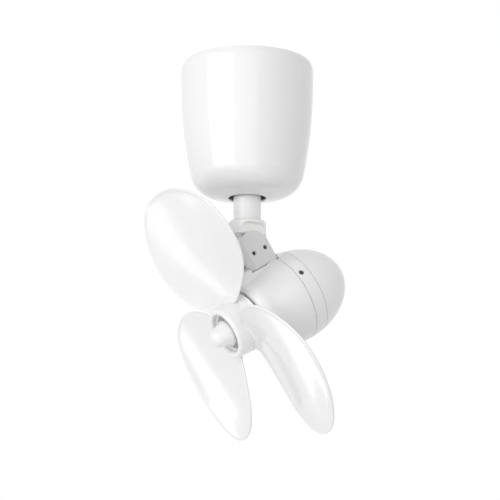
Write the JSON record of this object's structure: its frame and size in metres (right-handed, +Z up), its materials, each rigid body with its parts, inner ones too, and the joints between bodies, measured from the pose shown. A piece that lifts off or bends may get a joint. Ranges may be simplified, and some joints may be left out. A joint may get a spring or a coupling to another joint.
{
  "type": "corner fan",
  "caption": "Ceiling-hung corner fan: deep cup canopy, swinging neck, tilting round motor and a broad-bladed propeller held by a nose nut.",
  "frame": {"origin": "centre of the ceiling plate's upper face, where the fan is bolted to the ceiling", "axes": "+Z up along the neck axis, -Y the way the fan faces at rest, +X to the right seen from the front"},
  "size_m": [0.3852, 0.2678, 0.5046],
  "materials": {
    "gloss_white": "smooth gloss white plastic",
    "housing_white": "satin to gloss white plastic",
    "cover_white": "fine matte white plastic",
    "painted_white": "smooth white enamel",
    "zinc_steel": "bright zinc plate",
    "dark_steel": "dark plated steel",
    "ground_steel": "ground bright steel",
    "cast_aluminium": "plain die casting",
    "bearing_plastic": "off-white acetal",
    "lamination_steel": "varnished lamination stack",
    "copper": "enamelled copper wire",
    "bronze": "sintered bronze",
    "board_green": "green circuit board",
    "part_black": "black moulded components"
  },
  "bodies": {
    "mount": {"ceiling_plate": "zinc_steel", "canopy": "gloss_white", "canopy_lock_screw": "zinc_steel", "standoffs": "zinc_steel", "chassis_plate": "zinc_steel", "chassis_screws": "zinc_steel", "bearing_housing": "cast_aluminium", "bearing_housing_screws": "zinc_steel", "upper_bush": "bearing_plastic", "lower_bush": "bearing_plastic", "thrust_washer": "zinc_steel", "swing_motor": "zinc_steel", "swing_motor_screws": "zinc_steel", "stop_pin": "zinc_steel", "board_posts": "bearing_plastic", "control_board": "board_green", "board_parts": "part_black", "run_capacitor": "bearing_plastic", "terminal_block": "bearing_plastic"},
    "pinion": {"swing_pinion": "dark_steel"},
    "neck": {"neck_tube": "painted_white", "neck_gear": "bearing_plastic", "gear_pin": "zinc_steel", "retaining_ring": "dark_steel", "yoke": "painted_white", "neck_lock_screw": "zinc_steel"},
    "head": {"tilt_bracket": "zinc_steel", "hinge_bolt": "dark_steel", "hinge_nut": "dark_steel", "hinge_washers": "dark_steel", "bracket_bolts": "dark_steel", "hinge_cover": "cover_white", "cover_screws": "dark_steel", "web_screws": "dark_steel", "front_shell": "housing_white", "band_ring": "housing_white", "rear_dome": "housing_white", "housing_screws": "dark_steel", "end_bell": "cast_aluminium", "stator_core": "lamination_steel", "stator_windings": "copper", "through_bolts": "zinc_steel", "front_bearing": "bronze", "rear_bearing": "bronze"},
    "rotor": {"motor_shaft": "ground_steel", "rotor_core": "lamination_steel", "shaft_clips": "dark_steel", "drive_pin": "ground_steel", "propeller": "gloss_white", "nose_nut": "gloss_white"}
  },
  "joints": [
    {"name": "neck_swing", "type": "hinge", "parent": "mount", "child": "neck", "pos_m": [0, 0, -0.1], "axis": [0, 0, 1], "range_deg": [-45, 45]},
    {"name": "pinion_turn", "type": "hinge", "parent": "mount", "child": "pinion", "pos_m": [0, 0.0495, -0.066], "axis": [0, 0, 1], "range_deg": [-205, 205]},
    {"name": "head_tilt", "type": "hinge", "parent": "neck", "child": "head", "pos_m": [0, 0.002, -0.2535], "axis": [1, 0, 0], "range_deg": [-21, 29]},
    {"name": "rotor_spin", "type": "hinge", "parent": "head", "child": "rotor", "pos_m": [0, 0.04449, -0.32422], "axis": [0, -0.8572, -0.515], "continuous": true}
  ],
  "couplings": [
    {"joint": "pinion_turn", "follows": "neck_swing", "ratio": -4.5}
  ]
}
